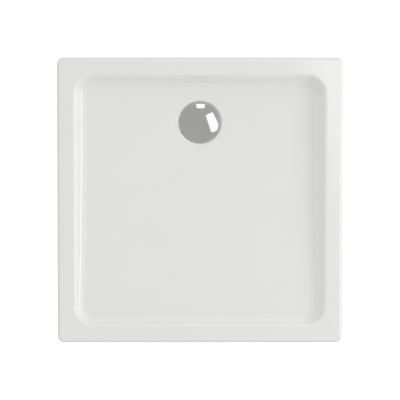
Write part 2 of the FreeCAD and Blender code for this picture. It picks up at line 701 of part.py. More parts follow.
def lock_nuts():
    """Hexagon nuts against the sockets, with their corners turned off at both ends."""
    low = SOCKET_BOTTOM - LOCK_NUT_THICK
    corner = LOCK_NUT_FLATS / math.sqrt(3)
    blank = lathe((0, low), (LOCK_NUT_FLATS / 2, low), (corner, low + EDGE_BREAK),
                  (corner, SOCKET_BOTTOM - EDGE_BREAK), (LOCK_NUT_FLATS / 2, SOCKET_BOTTOM),
                  (0, SOCKET_BOTTOM))
    nut = hexagon(LOCK_NUT_FLATS, low, SOCKET_BOTTOM).common(blank)
    nut = nut.cut(rod(STUD_RADIUS + THREAD_CLEAR, low, SOCKET_BOTTOM))
    return Part.makeCompound([moved(nut, x, y) for x, y in FOOT_PLACES.values()])


def foot_pad(x, y):
    """Round plastic foot that snaps over the stud's heel and doesn't turn with it."""
    pad = lathe((0, SOLE_THICK), (PAD_RADIUS, SOLE_THICK), (PAD_RADIUS, SOLE_THICK + PAD_BRIM),
                (PAD_TOP_RADIUS, PAD_HEIGHT), (0, PAD_HEIGHT))
    heel_room = rod(HEEL_RADIUS + HEEL_CLEAR, STUD_BOTTOM - HEEL_CLEAR,
                    STUD_BOTTOM + HEEL_THICK + HEEL_CLEAR)
    neck_room = rod(STUD_RADIUS + HEEL_CLEAR, STUD_BOTTOM, PAD_HEIGHT)
    return moved(pad.cut(heel_room).cut(neck_room), x, y)


def foot_sole(x, y):
    sole = lathe((0, 0), (SOLE_RADIUS - SOLE_BREAK, 0), (SOLE_RADIUS, SOLE_BREAK),
                 (SOLE_RADIUS, SOLE_THICK), (0, SOLE_THICK))
    return moved(sole, x, y)


def foot_stud(x, y):
    shank = chamfered_rod(STUD_RADIUS, STUD_BOTTOM, STUD_TOP, EDGE_BREAK)
    heel = rod(HEEL_RADIUS, STUD_BOTTOM, STUD_BOTTOM + HEEL_THICK)
    collar = hexagon(COLLAR_FLATS, COLLAR_Z, COLLAR_Z + COLLAR_THICK)
    return moved(fused([shank, heel, collar]), x, y)


# ---------------------------------------------------------------- waste
def screw_ring():
    places = []
    for step in range(FLANGE_SCREWS):
        angle = math.radians(FLANGE_SCREW_START + 360 * step / FLANGE_SCREWS)
        places.append((FLANGE_SCREW_CIRCLE * math.cos(angle),
                       DRAIN_Y + FLANGE_SCREW_CIRCLE * math.sin(angle)))
    return places


def flange_screw(x, y):
    """Countersunk screw, flush with the flange."""
    cone = FLANGE_SCREW_HEAD - FLANGE_SCREW_RADIUS
    low = FLANGE_TOP - FLANGE_SCREW_LENGTH
    screw = lathe((0, low), (FLANGE_SCREW_RADIUS - FLANGE_SCREW_TIP, low),
                  (FLANGE_SCREW_RADIUS, low + FLANGE_SCREW_TIP),
                  (FLANGE_SCREW_RADIUS, FLANGE_TOP - cone),
                  (FLANGE_SCREW_HEAD, FLANGE_TOP),
                  (0, FLANGE_TOP))
    half = FLANGE_SCREW_SLOT / 2
    for angle in (0, 90):
        slot = block(-FLANGE_SCREW_RADIUS, FLANGE_SCREW_RADIUS, -half, half,
                     FLANGE_TOP - FLANGE_SCREW_SLOT, FLANGE_TOP)
        screw = screw.cut(turned(slot, angle))
    return moved(screw, x, y)


def waste_flange():
    wall = FLANGE_BORE + FLANGE_SKIRT_WALL
    flange = lathe((FLANGE_BORE, FLANGE_TOP - FLANGE_SKIRT),
                   (wall, FLANGE_TOP - FLANGE_SKIRT),
                   (wall, FLANGE_BOTTOM),
                   (FLANGE_RADIUS, FLANGE_BOTTOM),
                   (FLANGE_RADIUS, FLANGE_TOP - FLANGE_EDGE),
                   (FLANGE_RADIUS - FLANGE_EDGE, FLANGE_TOP),
                   (FLANGE_BORE, FLANGE_TOP))
    flange = moved(flange, 0, DRAIN_Y)
    cone = FLANGE_SCREW_HEAD - FLANGE_SCREW_RADIUS
    for x, y in screw_ring():
        seat = lathe((0, FLANGE_BOTTOM), (FLANGE_SCREW_RADIUS + SNUG, FLANGE_BOTTOM),
                     (FLANGE_SCREW_RADIUS + SNUG, FLANGE_TOP - cone),
                     (FLANGE_SCREW_HEAD + SNUG, FLANGE_TOP), (0, FLANGE_TOP))
        flange = flange.cut(moved(seat, x, y))
    return flange


def flange_screws():
    return Part.makeCompound([flange_screw(x, y) for x, y in screw_ring()])


def flange_gasket():
    return ring(GASKET_OUTER, GASKET_INNER, RECESS_FLOOR, FLANGE_BOTTOM, 0, DRAIN_Y)


def body_gasket():
    under = RECESS_FLOOR - BACKED
    return ring(GASKET_OUTER, GASKET_INNER, SHOULDER_TOP, under, 0, DRAIN_Y)


# ---------------------------------------------------------------- trap
def trap_body():
    neck_top = FLANGE_BOTTOM - NECK_SHORT
    corner = TRAP_BOTTOM_ROUND
    turn = inset(corner)
    outside = lathe((0, TRAP_BOTTOM),
                    (CHAMBER_RADIUS - corner, TRAP_BOTTOM),
                    ((CHAMBER_RADIUS - turn, TRAP_BOTTOM + turn),
                     (CHAMBER_RADIUS, TRAP_BOTTOM + corner)),
                    (CHAMBER_RADIUS, SHOULDER_BOTTOM),
                    (SHOULDER_RADIUS, SHOULDER_BOTTOM),
                    (SHOULDER_RADIUS, SHOULDER_TOP),
                    (NECK_OUTER, SHOULDER_TOP),
                    (NECK_OUTER, neck_top),
                    (0, neck_top))
    spigot = rod_x(SPIGOT_RADIUS, CHAMBER_RADIUS / 2, SPIGOT_REACH, 0, OUTLET_Z)
    inner = CHAMBER_RADIUS - TRAP_WALL
    inner_corner = corner - TRAP_WALL
    turn = inset(inner_corner)
    floor = TRAP_BOTTOM + TRAP_WALL
    room = lathe((0, floor),
                 (inner - inner_corner, floor),
                 ((inner - turn, floor + turn), (inner, floor + inner_corner)),
                 (inner, SHOULDER_BOTTOM - TRAP_WALL),
                 (NECK_INNER, SHOULDER_BOTTOM - TRAP_WALL),
                 (NECK_INNER, neck_top),
                 (0, neck_top))
    body = turned(outside, 180).fuse(spigot).cut(turned(room, 180))
    body = body.cut(rod_x(PIPE_BORE, CHAMBER_RADIUS / 2, SPIGOT_REACH, 0, OUTLET_Z))
    seat = SPIGOT_REACH - SOCKET_DEPTH
    body = body.cut(rod_x(PIPE_RADIUS + PIPE_CLEAR, seat, SPIGOT_REACH, 0, OUTLET_Z))
    body = moved(body, 0, DRAIN_Y)
    low = FLANGE_TOP - FLANGE_SCREW_LENGTH - FLANGE_SCREW_SPARE
    for x, y in screw_ring():
        body = body.cut(rod(FLANGE_SCREW_RADIUS + SNUG, low, neck_top, x, y))
    return body.removeSplitter()


def outlet_nut():
    nut = rod(NUT_RADIUS, 0, NUT_LENGTH)
    for step in range(NUT_RIBS):
        rib = block(0, NUT_RADIUS + NUT_RIB, -NUT_RIB_WIDTH / 2, NUT_RIB_WIDTH / 2, 0, NUT_LENGTH)
        nut = nut.fuse(turned(rib, 360 * step / NUT_RIBS))
    nut = nut.removeSplitter()
    seal_end = NUT_OVERLAP + SEAL_LENGTH
    nut = nut.cut(rod(SPIGOT_RADIUS + SNUG, 0, seal_end))
    nut = nut.cut(rod(PIPE_RADIUS + PIPE_CLEAR, 0, NUT_LENGTH))
    return along_x(nut, NUT_START, DRAIN_Y, OUTLET_Z)


def cone_seal():
    inner = PIPE_RADIUS + PIPE_CLEAR
    seal = lathe((inner, SPIGOT_REACH), (SPIGOT_RADIUS - SEAL_CHAMFER, SPIGOT_REACH),
                 (SPIGOT_RADIUS, SPIGOT_REACH + SEAL_CHAMFER),
                 (SPIGOT_RADIUS, SPIGOT_REACH + SEAL_LENGTH),
                 (inner, SPIGOT_REACH + SEAL_LENGTH))
    return along_x(seal, 0, DRAIN_Y, OUTLET_Z)


def bent_pipe(radius):
    """The elbow's line, as a solid of the given radius."""
    straight = rod_x(radius, ELBOW_START, BEND_X, DRAIN_Y, OUTLET_Z)
    circle = Part.makeCircle(radius, point(BEND_X, DRAIN_Y, OUTLET_Z), point(1, 0, 0))
    disc = Part.Face(Part.Wire(circle))
    bend = disc.revolve(point(BEND_X, TAIL_Y, OUTLET_Z), point(0, 0, 1), 90)
    tail = Part.makeCylinder(radius, ELBOW_TAIL, point(TAIL_X, TAIL_Y, OUTLET_Z), point(0, 1, 0))
    return fused([straight, bend, tail])


def outlet_elbow():
    bead_start = NUT_END + BEAD_GAP
    bead = rod_x(BEAD_RADIUS, bead_start, bead_start + BEAD_LENGTH, DRAIN_Y, OUTLET_Z)
    end_bead = Part.makeCylinder(BEAD_RADIUS, BEAD_LENGTH, point(TAIL_X, TAIL_Y, OUTLET_Z),
                                 point(0, -1, 0))
    outside = fused([bent_pipe(PIPE_RADIUS), bead, end_bead])
    return outside.cut(bent_pipe(PIPE_BORE))


# ---------------------------------------------------------------- insert
def trap_insert():
    """Removable dip tube with a collar, and a hub on spokes that carries the cover."""
    funnel_top = COLLAR_BOTTOM
    tube_top = funnel_top - FUNNEL_HEIGHT
    dip_inner = DIP_RADIUS - INSERT_WALL
    collar_inner = COLLAR_RADIUS - COLLAR_WALL
    ring_z = COLLAR_TOP - RING_DROP
    groove = 2 * RING_CORD_RADIUS
    groove_floor = COLLAR_RADIUS - 2 * RING_CORD_RADIUS
    outside = lathe((0, DIP_BOTTOM), (DIP_RADIUS, DIP_BOTTOM), (DIP_RADIUS, tube_top),
                    (COLLAR_RADIUS, funnel_top),
                    (COLLAR_RADIUS, ring_z - groove / 2),
                    (groove_floor, ring_z - groove / 2),
                    (groove_floor, ring_z + groove / 2),
                    (COLLAR_RADIUS, ring_z + groove / 2),
                    (COLLAR_RADIUS, COLLAR_TOP - EDGE_BREAK),
                    (COLLAR_RADIUS - EDGE_BREAK, COLLAR_TOP),
                    (0, COLLAR_TOP))
    inside = lathe((0, DIP_BOTTOM), (dip_inner, DIP_BOTTOM), (dip_inner, tube_top),
                   (collar_inner, funnel_top), (collar_inner, COLLAR_TOP), (0, COLLAR_TOP))
    insert = outside.cut(inside)
    hub = rod(HUB_RADIUS, HUB_TOP - HUB_HEIGHT, HUB_TOP)
    spokes = []
    spoke_low = HUB_TOP - SPOKE_HEIGHT
    for angle in SPOKE_ANGLES:
        spoke = block(-collar_inner, collar_inner, -SPOKE_WIDTH / 2, SPOKE_WIDTH / 2,
                      spoke_low, HUB_TOP)
        within = rod(collar_inner + COLLAR_WALL / 2, spoke_low, HUB_TOP)
        spokes.append(turned(spoke, angle).common(within))
    insert = insert.fuse([hub] + spokes)
    insert = insert.cut(rod(STEM_RADIUS + STEM_CLEAR, HUB_TOP - HUB_HEIGHT, HUB_TOP))
    return moved(insert.removeSplitter(), 0, DRAIN_Y)


def insert_ring():
    centre = COLLAR_RADIUS - RING_CORD_RADIUS
    middle = point(0, DRAIN_Y, COLLAR_TOP - RING_DROP)
    return Part.makeTorus(centre, RING_CORD_RADIUS - SNUG, middle)


# ---------------------------------------------------------------- cover
def dome(radius, top, edge_round, bottom, rise):
    """Shallow dome with a turned-down edge, solid underneath."""
    spring = radius - edge_round
    sphere = (spring * spring + rise * rise) / (2 * rise)
    middle_r = spring / 2
    middle_z = top - sphere + math.sqrt(sphere * sphere - middle_r * middle_r)
    low = top - rise
    turn = inset(edge_round)
    return lathe((0, bottom), (radius, bottom), (radius, low - edge_round),
                 ((radius - turn, low - turn), (spring, low)),
                 ((middle_r, middle_z), (0, top)))


def cover_room():
    """The space under the dome."""
    return dome(COVER_RADIUS - COVER_THICK, COVER_TOP - COVER_THICK,
                COVER_EDGE_ROUND - COVER_THICK / 2, COVER_BOTTOM, COVER_RISE)


def waste_cover():
    outside = dome(COVER_RADIUS, COVER_TOP, COVER_EDGE_ROUND, COVER_BOTTOM, COVER_RISE)
    return moved(outside.cut(cover_room()), 0, DRAIN_Y)


def cover_carrier():
    """Plastic spider under the dome, with the stem that plugs into the insert's hub."""
    low = COVER_TOP - COVER_THICK - CARRIER_DEPTH
    spider = [rod(CARRIER_PLATE_RADIUS, low, COVER_TOP)]
    for step in range(CARRIER_RIBS):
        rib = block(0, CARRIER_RIB_REACH, -CARRIER_RIB_WIDTH / 2, CARRIER_RIB_WIDTH / 2,
                    COVER_BOTTOM + CARRIER_RIB_GAP, COVER_TOP)
        spider.append(turned(rib, 360 * step / CARRIER_RIBS))
    spider = fused(spider).common(moved(cover_room(), 0, 0, -COVER_LIP_CLEAR))
    stem = chamfered_rod(STEM_RADIUS, FLANGE_TOP - STEM_LENGTH, low + CARRIER_DEPTH / 2, EDGE_BREAK)
    return moved(fused([spider, stem]), 0, DRAIN_Y)


# ---------------------------------------------------------------- write
def nodes():
    pieces = {
        "tray_shell": tray_shell(),
        "fibreglass_backing": fibreglass_backing(),
        "resin_bed": resin_bed(),
        "base_board": base_board(),
        "left_rail": side_rail(-1),
        "right_rail": side_rail(1),
        "cross_rail": cross_rail(),
        "rail_end_caps": rail_end_caps(),
        "cross_cleats": cross_cleats(),
        "cleat_bolts": cleat_bolts(),
        "cleat_nuts": cleat_nuts(),
        "rail_screws": rail_screws(),
        "foot_sockets": foot_sockets(),
        "socket_screws": socket_screws(),
        "lock_nuts": lock_nuts(),
        "waste_flange": waste_flange(),
        "flange_screws": flange_screws(),
        "flange_gasket": flange_gasket(),
        "body_gasket": body_gasket(),
        "trap_body": trap_body(),
        "outlet_nut": outlet_nut(),
        "cone_seal": cone_seal(),
        "outlet_elbow": outlet_elbow(),
        "trap_insert": trap_insert(),
        "insert_ring": insert_ring(),
        "waste_cover": waste_cover(),
        "cover_carrier": cover_carrier(),
    }
    for name, (x, y) in FOOT_PLACES.items():
        pieces["foot_pad_" + name] = foot_pad(x, y)
        pieces["foot_sole_" + name] = foot_sole(x, y)
        pieces["foot_stud_" + name] = foot_stud(x, y)
    return pieces


os.makedirs("parts", exist_ok=True)
for node, shape in nodes().items():
    shape.exportStep("parts/" + node + ".step")
    print(node, "solids", len(shape.Solids), "valid", shape.isValid(), "volume", round(shape.Volume))
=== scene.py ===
import json
import math

import bmesh
import bpy
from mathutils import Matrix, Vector


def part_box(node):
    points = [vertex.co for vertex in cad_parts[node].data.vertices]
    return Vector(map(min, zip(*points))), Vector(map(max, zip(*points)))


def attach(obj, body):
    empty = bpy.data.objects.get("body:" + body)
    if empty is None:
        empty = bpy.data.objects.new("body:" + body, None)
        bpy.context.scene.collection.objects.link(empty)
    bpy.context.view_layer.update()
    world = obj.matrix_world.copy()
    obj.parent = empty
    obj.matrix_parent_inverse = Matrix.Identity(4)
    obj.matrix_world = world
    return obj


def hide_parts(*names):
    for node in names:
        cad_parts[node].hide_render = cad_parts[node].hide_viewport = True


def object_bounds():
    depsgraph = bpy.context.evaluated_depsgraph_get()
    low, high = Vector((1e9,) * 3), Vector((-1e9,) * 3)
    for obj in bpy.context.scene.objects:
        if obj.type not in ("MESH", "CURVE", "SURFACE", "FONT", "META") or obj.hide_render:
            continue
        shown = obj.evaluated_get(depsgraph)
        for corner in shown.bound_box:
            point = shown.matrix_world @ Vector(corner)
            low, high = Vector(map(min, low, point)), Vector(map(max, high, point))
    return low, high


# A square white acrylic shower tray with a chrome waste cover, standing on five screw feet.
# Metres, in the frame's own axes: the drain lies towards +Y and the floor is at z = 0.

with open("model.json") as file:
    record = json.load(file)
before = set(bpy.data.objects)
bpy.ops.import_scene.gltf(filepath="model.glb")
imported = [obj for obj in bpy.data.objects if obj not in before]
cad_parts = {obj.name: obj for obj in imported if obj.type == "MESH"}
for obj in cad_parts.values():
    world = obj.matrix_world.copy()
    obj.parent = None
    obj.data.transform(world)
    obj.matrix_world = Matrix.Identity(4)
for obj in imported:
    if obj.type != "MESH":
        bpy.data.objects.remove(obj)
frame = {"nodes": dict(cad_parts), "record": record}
cad_low, cad_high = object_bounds()
nodes = frame["nodes"]

MM = 0.001


def placed(name, data):
    """An object in the scene that shows this data."""
    made = bpy.data.objects.new(name, data)
    bpy.context.scene.collection.objects.link(made)
    return made


# ---------------------------------------------------------------- camera, from the photograph
PICTURE = 400                   # pixels along each side
TRAY_PIXELS = 285.4             # the rim's width in the picture, at its middle
TRAY_CENTRE = (199.9, 200.5)    # where the rim's middle lies in the picture
BACK_TO_FRONT = 1.0078          # the back side is this much longer in the picture than the front
CAMERA_DISTANCE = 3.2
SENSOR = 36.0                   # the camera's own width of picture, in its units

rim_width = cad_high.x - cad_low.x
rim_length = cad_high.y - cad_low.y
rim_z = cad_high.z
view_width = rim_width * PICTURE / TRAY_PIXELS
lean = math.asin((BACK_TO_FRONT - 1) * CAMERA_DISTANCE / rim_length)
pixel = view_width / PICTURE
aim = Vector(((PICTURE / 2 - TRAY_CENTRE[0]) * pixel, (TRAY_CENTRE[1] - PICTURE / 2) * pixel, rim_z))

camera_data = bpy.data.cameras.new("studio_camera")
camera_data.sensor_width = SENSOR
camera_data.lens = SENSOR * CAMERA_DISTANCE / view_width
camera = placed("studio_camera", camera_data)
camera.location = aim + CAMERA_DISTANCE * Vector((0, math.sin(lean), math.cos(lean)))
camera.rotation_euler = (-lean, 0, 0)
bpy.context.scene.camera = camera


# ---------------------------------------------------------------- shader arithmetic
class Signal:
    """A socket in a finish. Arithmetic on it adds the Math nodes."""

    def __init__(self, finish, socket):
        self.finish = finish
        self.socket = socket

    def math(self, operation, first, second=0.0):
        return self.finish.node("Math", {"operation": operation}, {0: first, 1: second})

    def __add__(self, other):
        return self.math("ADD", self, other)

    def __radd__(self, other):
        return self.math("ADD", other, self)

    def __sub__(self, other):
        return self.math("SUBTRACT", self, other)

    def __rsub__(self, other):
        return self.math("SUBTRACT", other, self)

    def __mul__(self, other):
        return self.math("MULTIPLY", self, other)

    def __rmul__(self, other):
        return self.math("MULTIPLY", other, self)

    def __abs__(self):
        return self.math("ABSOLUTE", self)

    def between(self, low, high):
        """0 at low and 1 at high, and no further."""
        return self.finish.node("MapRange", {"clamp": True}, {0: self, 1: low, 2: high})


class Nodes:
    """The node tree of a material or of the world."""

    def __init__(self, tree):
        self.tree = tree

    def node(self, kind, settings=None, inputs=None, out=0):
        made = self.tree.nodes.new("ShaderNode" + kind)
        for key, value in (settings or {}).items():
            setattr(made, key, value)
        for key, value in (inputs or {}).items():
            self.feed(made.inputs[key], value)
        return Signal(self, made.outputs[out])

    def split(self, vector):
        """The x, y and z of a place or a direction."""
        parts = self.node("SeparateXYZ", {}, {0: vector}).socket.node
        return [Signal(self, part) for part in parts.outputs]

    def feed(self, socket, value):
        if isinstance(value, Signal):
            self.tree.links.new(value.socket, socket)
        else:
            socket.default_value = value


class Finish(Nodes):
    """One finish: a Principled material whose textures stay with the piece."""

    def __init__(self, name, **fixed):
        self.material = bpy.data.materials.new(name)
        self.material.use_nodes = True
        super().__init__(self.material.node_tree)
        self.shader = self.tree.nodes["Principled BSDF"]
        self.place = self.node("TexCoord", out="Object")
        for key, value in fixed.items():
            self.shader.inputs[key.replace("_", " ")].default_value = value

    def drive(self, **inputs):
        for key, value in inputs.items():
            self.feed(self.shader.inputs[key.replace("_", " ")], value)

    def laid(self, turn=(0, 0, 0), scale=(1, 1, 1), move=(0, 0, 0)):
        """The place on the piece, turned and stretched."""
        return self.node("Mapping", {}, {"Vector": self.place, "Location": move, "Rotation": turn,
                                         "Scale": scale})

    def noise(self, size, detail=2.0, rough=0.5, at=None, warp=0.0):
        return self.node("TexNoise", {}, {"Vector": at or self.place, "Scale": 1 / size, "Detail": detail,
                                          "Roughness": rough, "Distortion": warp})

    def cells(self, size, at=None, out="Distance"):
        return self.node("TexVoronoi", {}, {"Vector": at or self.place, "Scale": 1 / size}, out)

    def grey(self, colour):
        return self.node("RGBToBW", {}, {0: colour})

    def mix(self, share, first, second):
        """Colours: the first where share is 0, the second where it is 1."""
        return self.node("Mix", {"data_type": "RGBA"}, {0: share, 6: first, 7: second}, 2)

    def relief(self, height, depth, under=None):
        inputs = {"Height": height, "Distance": depth, "Strength": 1.0}
        if under:
            inputs["Normal"] = under
        return self.node("Bump", {}, inputs)


def rgb(red, green, blue):
    return (red, green, blue, 1.0)


# ---------------------------------------------------------------- finishes
def white_acrylic():
    """Gloss sheet: faintly wavy from forming, with wiped haze and hair scratches."""
    f = Finish("white_acrylic", IOR=1.49, Specular_IOR_Level=0.9)
    haze = f.noise(0.11, 3.0, 0.55)
    wiped = f.noise(0.02, 4.0, 0.6, f.laid((0, 0, 0.6), (1, 6, 1)))
    hairs = f.noise(0.004, 2.0, 0.5, f.laid((0, 0, 0.35), (0.05, 2.2, 1)))
    scratch = hairs.between(0.70, 0.74)
    tone = haze.between(0.35, 0.65)
    f.drive(Base_Color=f.mix(tone, rgb(0.871, 0.873, 0.852), rgb(0.881, 0.883, 0.863)),
            Roughness=0.075 + 0.05 * wiped.between(0.45, 0.75) + 0.05 * scratch,
            Normal=f.relief(f.noise(0.012, 1.0, 0.4), 0.012 * MM,
                            f.relief(f.noise(0.16, 1.0), 0.25 * MM)))
    return f.material


def glass_fibre():
    """Chopped strands, a few centimetres long, lying every way in cloudy resin."""
    f = Finish("glass_fibre", IOR=1.52)
    strands = None
    for step, turn in enumerate((0.1, 0.75, 1.35, 1.95, 2.65)):
        lying = f.laid((0, 0, turn), (0.055, 1, 0.4), (0.3 * step, 0.7 * step, 0.2))
        thread = f.noise(0.0016, 2.0, 0.6, lying).between(0.50, 0.60)
        strands = thread if strands is None else strands + thread
    strands = strands.between(0.0, 3.2)
    cloud = f.noise(0.05, 3.0, 0.6)
    resin = f.mix(cloud, rgb(0.50, 0.49, 0.38), rgb(0.62, 0.61, 0.52))
    lumps = f.noise(0.014, 3.0, 0.6)
    f.drive(Base_Color=f.mix(strands, resin, rgb(0.80, 0.81, 0.76)),
            Roughness=0.28 + 0.3 * strands,
            Normal=f.relief(strands + 1.5 * lumps, 0.6 * MM))
    return f.material


def filled_resin():
    f = Finish("filled_resin")
    streaks = f.noise(0.012, 4.0, 0.6, f.laid((0, 0, 0.5), (0.2, 1, 1)))
    specks = f.cells(0.0022).between(0.05, 0.30)
    tone = f.mix(streaks, rgb(0.60, 0.57, 0.47), rgb(0.74, 0.71, 0.61))
    f.drive(Base_Color=f.mix(specks, rgb(0.42, 0.38, 0.30), tone),
            Roughness=0.55 + 0.2 * streaks,
            Normal=f.relief(streaks + 0.3 * specks, 1.2 * MM))
    return f.material


def chipboard():
    """Pressed chips: large ones inside, fine ones at the faces, with dark gaps between."""
    f = Finish("chipboard")
    chips = f.grey(f.cells(0.006, f.laid((0, 0, 0.4), (1, 0.55, 2.6)), "Color"))
    dust = f.grey(f.cells(0.0018, f.laid((0, 0, 1.1), (1, 0.6, 1.6)), "Color"))
    gaps = f.cells(0.0045, f.laid((0, 0, 0.2), (1, 0.6, 2.4))).between(0.02, 0.16)
    shade = 0.55 * chips + 0.45 * dust
    wood = f.mix(shade, rgb(0.36, 0.235, 0.125), rgb(0.66, 0.50, 0.32))
    f.drive(Base_Color=f.mix(gaps, rgb(0.16, 0.095, 0.05), wood),
            Roughness=0.72 + 0.18 * dust,
            Normal=f.relief(shade + gaps, 0.35 * MM))
    return f.material


def galvanised_steel():
    """Hot-dip zinc: frosty spangles that differ in brightness and gloss."""
    f = Finish("galvanised_steel", Metallic=1.0)
    at = f.laid((0.3, 0.2, 0.5), (1, 1, 0.7))
    spangle = f.grey(f.cells(0.011, at, "Color"))
    frost = f.noise(0.0014, 3.0, 0.7)
    tone = f.mix(spangle, rgb(0.40, 0.415, 0.43), rgb(0.63, 0.645, 0.65))
    drips = f.noise(0.03, 3.0, 0.6).between(0.62, 0.78)
    f.drive(Base_Color=f.mix(drips, tone, rgb(0.70, 0.71, 0.70)),
            Roughness=0.30 + 0.22 * spangle + 0.12 * frost,
            Normal=f.relief(frost + spangle, 0.05 * MM))
    return f.material


def zinc_plate():
    f = Finish("zinc_plate", Metallic=1.0)
    blush = f.noise(0.007, 3.0, 0.6)
    turned = f.noise(0.0009, 2.0, 0.6, f.laid((0, 0, 0), (0.25, 0.25, 3)))
    f.drive(Base_Color=f.mix(blush, rgb(0.58, 0.60, 0.62), rgb(0.70, 0.70, 0.66)),
            Roughness=0.22 + 0.2 * turned,
            Normal=f.relief(turned, 0.03 * MM))
    return f.material


def yellow_zinc():
    f = Finish("yellow_zinc", Metallic=1.0)
    bloom = f.noise(0.005, 3.0, 0.6)
    film = f.noise(0.0022, 2.0, 0.5).between(0.35, 0.7)
    gold = f.mix(bloom, rgb(0.74, 0.56, 0.22), rgb(0.62, 0.62, 0.30))
    f.drive(Base_Color=f.mix(0.35 * film, gold, rgb(0.66, 0.42, 0.40)),
            Roughness=0.28 + 0.15 * bloom,
            Normal=f.relief(film, 0.02 * MM))
    return f.material


def moulded(name, dark, light, low, high, grain, depth):
    """Injection-moulded plastic: spark-eroded grain, flow marks and handling shine."""
    f = Finish(name)
    flow = f.noise(0.03, 3.0, 0.6, f.laid((0, 0.2, 0.4), (1, 1, 0.35)), 0.6)
    pits = f.noise(grain, 2.0, 0.6)
    rubbed = f.noise(0.016, 4.0, 0.6).between(0.52, 0.72)
    f.drive(Base_Color=f.mix(flow, dark, light),
            Roughness=high - (high - low) * rubbed + 0.06 * pits,
            Normal=f.relief(pits + 0.6 * flow, depth))
    return f.material


def black_plastic():
    return moulded("black_plastic", rgb(0.020, 0.021, 0.022), rgb(0.034, 0.034, 0.036),
                   0.38, 0.55, 0.0007, 0.05 * MM)


def white_plastic():
    return moulded("white_plastic", rgb(0.80, 0.80, 0.775), rgb(0.86, 0.86, 0.84),
                   0.26, 0.38, 0.0011, 0.025 * MM)


def grey_plastic():
    return moulded("grey_plastic", rgb(0.33, 0.345, 0.36), rgb(0.39, 0.405, 0.42),
                   0.32, 0.45, 0.0009, 0.03 * MM)


def black_rubber():
    """Rubber with a dusty bloom."""
    f = Finish("black_rubber")
    bloom = f.noise(0.012, 4.0, 0.65).between(0.45, 0.8)
    skin = f.noise(0.0006, 2.0, 0.6)
    f.drive(Base_Color=f.mix(bloom, rgb(0.016, 0.016, 0.017), rgb(0.060, 0.058, 0.055)),
            Roughness=0.74 + 0.16 * bloom,
            Normal=f.relief(skin, 0.05 * MM))
    return f.material


def stainless():
    """Satin sheet, brushed in one direction, with a few deeper lines."""
    f = Finish("stainless", Metallic=1.0)
    fine = f.noise(0.00035, 2.0, 0.6, f.laid((0, 0, 0.15), (0.02, 1, 1)))
    lines = f.noise(0.0016, 2.0, 0.5, f.laid((0, 0, 0.15), (0.03, 1, 1))).between(0.6, 0.7)
    f.drive(Base_Color=f.mix(fine, rgb(0.54, 0.54, 0.53), rgb(0.66, 0.66, 0.65)),
            Roughness=0.24 + 0.16 * fine + 0.1 * lines,
            Normal=f.relief(fine + lines, 0.02 * MM))
    return f.material


def chrome():
    """Polished plate with wiping marks that only catch bright light."""
    f = Finish("chrome", Metallic=1.0)
    wiped = f.noise(0.006, 3.0, 0.6, f.laid((0, 0, 0.9), (0.12, 1, 1)))
    cloud = f.noise(0.03, 2.0, 0.5)
    f.drive(Base_Color=f.mix(cloud, rgb(0.60, 0.602, 0.595), rgb(0.62, 0.622, 0.616)),
            Roughness=0.045 + 0.03 * wiped.between(0.5, 0.8),
            Normal=f.relief(f.noise(0.02, 1.0), 0.01 * MM))
    return f.material


FINISHES = {
    "white_acrylic": white_acrylic(),
    "glass_fibre": glass_fibre(),
    "filled_resin": filled_resin(),
    "chipboard": chipboard(),
    "galvanised_steel": galvanised_steel(),
    "zinc_plate": zinc_plate(),
    "yellow_zinc": yellow_zinc(),
    "black_plastic": black_plastic(),
    "black_rubber": black_rubber(),
    "white_plastic": white_plastic(),
    "grey_plastic": grey_plastic(),
    "stainless": stainless(),
    "chrome": chrome(),
}
node_slot = {part["node"]: part["material_slot"] for part in frame["record"]["subparts"]}
for name, slot in node_slot.items():
    for place in nodes[name].material_slots:
        place.material = FINISHES[slot]


# ---------------------------------------------------------------- pieces
def add_piece(name, bm, body, slot, replaced, sharp):
    """Makes the piece, smooth but for edges sharper than the given degrees, on its body."""
    bmesh.ops.recalc_face_normals(bm, faces=bm.faces)
    mesh = bpy.data.meshes.new(name)
    bm.to_mesh(mesh)
    bm.free()
    mesh.shade_smooth()
    mesh.set_sharp_from_angle(angle=math.radians(sharp))
    mesh.materials.append(FINISHES[slot])
    piece = placed(name, mesh)
    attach(piece, body)
    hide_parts(replaced)
    return piece


def swept_rings(bm, rings):
    """A closed skin over rings of points, capped at both ends."""
    rows = [[bm.verts.new(point) for point in ring] for ring in rings]
    count = len(rows[0])
    for low, high in zip(rows, rows[1:]):
        for step in range(count):
            after = (step + 1) % count
            bm.faces.new((low[step], low[after], high[after], high[step]))
    bm.faces.new(rows[0])
    bm.faces.new(rows[-1])


# ---------------------------------------------------------------- screw feet
PITCH = 1.75 * MM
THREAD_DEPTH = 0.95 * MM
THREAD_STEPS = 6                # rings to one turn
THREAD_FLANK = 1.25             # above 1, the thread's crests are flat
STUD_SIDES = 48
STUD_RADIUS = 6.0 * MM
STUD_CHAMFER = 1.2 * MM
HEEL_THICK = 4.0 * MM
HEEL_RADIUS = 8.5 * MM
COLLAR_FLATS = 17.0 * MM
COLLAR_LOW = 24.0 * MM
COLLAR_THICK = 7.0 * MM
COLLAR_ROUND = 0.35 * MM
STUD_SHARP = 50.0               # edges that turn more than this, in degrees, stay sharp


def hexagon_reach(angle, flats):
    """From a hexagon's middle to its side, in this direction."""
    sixth = math.pi / 3
    return flats / 2 / math.cos(angle % sixth - sixth / 2)


def ring_at(x, y, z, reach):
    points = []
    for step in range(STUD_SIDES):
        angle = 2 * math.pi * step / STUD_SIDES
        r = reach(angle)
        points.append((x + r * math.cos(angle), y + r * math.sin(angle), z))
    return points


